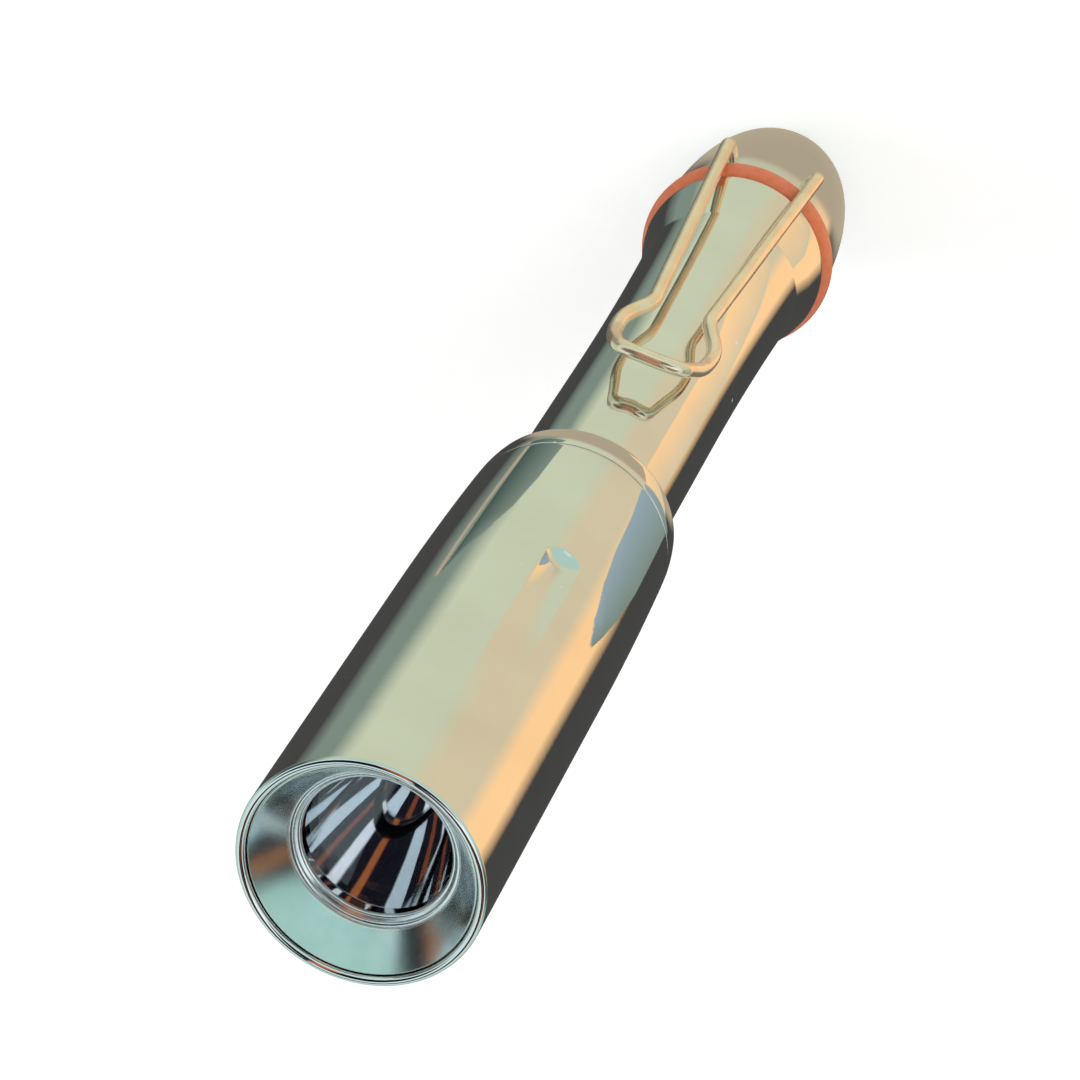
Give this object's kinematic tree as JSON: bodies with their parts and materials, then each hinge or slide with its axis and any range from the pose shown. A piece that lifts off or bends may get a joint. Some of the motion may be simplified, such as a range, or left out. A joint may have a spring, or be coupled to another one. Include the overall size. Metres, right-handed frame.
{
  "type": "uv flashlight",
  "caption": "Pen-sized torch with a mirror-polished steel head, tube and screw tail cap, a flared mouth around its lens, and a bent wire pocket clip.",
  "frame": {"origin": "centre of the flat tail face, on which the light stands", "axes": "+Z along the tube's axis from the tail to the mouth; the pocket clip lies on the -Y side, its legs side by side along X"},
  "size_m": [0.0182, 0.0187, 0.132],
  "materials": {
    "polished_steel": "mirror polish",
    "spring_steel": "bright drawn wire",
    "bright_reflector": "vacuum-coated mirror",
    "lens_glass": "clear",
    "orange_rubber": "satin",
    "black_rubber": "matte",
    "white_plastic": "matte",
    "black_plastic": "matte",
    "led_ceramic": "matte",
    "led_dome": "clear silicone",
    "board_mask": "solder mask",
    "wire_sleeve": "satin",
    "brass": "turned",
    "plated_spring": "gold plated",
    "cell_sleeve": "gloss sleeve"
  },
  "bodies": {
    "tube": {"battery_tube": "polished_steel", "head_seal": "black_rubber", "front_cell": "cell_sleeve", "rear_cell": "cell_sleeve", "tail_seal": "orange_rubber"},
    "head": {"head_shell": "polished_steel", "bezel_ring": "polished_steel", "lens_seal": "black_rubber", "front_lens": "lens_glass", "reflector": "bright_reflector", "emitter_gasket": "white_plastic", "led_base": "led_ceramic", "led_dome": "led_dome", "star_board": "board_mask", "pill": "brass", "lead_wires": "wire_sleeve", "driver_board": "board_mask", "driver_parts": "black_plastic", "driver_retainer": "brass", "driver_spring": "plated_spring"},
    "tail_cap": {"tail_cap": "polished_steel", "switch_retainer": "brass", "contact_board": "board_mask", "tail_spring": "plated_spring", "switch_body": "black_plastic"},
    "button": {"tail_button": "polished_steel", "switch_plunger": "white_plastic"},
    "clip": {"pocket_clip": "spring_steel"}
  },
  "joints": [
    {"name": "head_twist", "type": "hinge", "parent": "tube", "child": "head", "pos_m": [0, 0, 0.0802], "axis": [0, 0, 1], "range_deg": [0, 360]},
    {"name": "tail_cap_twist", "type": "hinge", "parent": "tube", "child": "tail_cap", "pos_m": [0, 0, 0.0175], "axis": [0, 0, -1], "range_deg": [0, 360]},
    {"name": "button_press", "type": "slide", "parent": "tail_cap", "child": "button", "axis": [0, 0, 1], "range_m": [0, 0.0012], "stiffness_N_per_m": 1500, "springref_m": -0.0008},
    {"name": "clip_flex", "type": "hinge", "parent": "tail_cap", "child": "clip", "pos_m": [0, -0.007, 0.0154], "axis": [1, 0, 0], "range_deg": [0, 4], "stiffness_Nm_per_rad": 2.7}
  ]
}
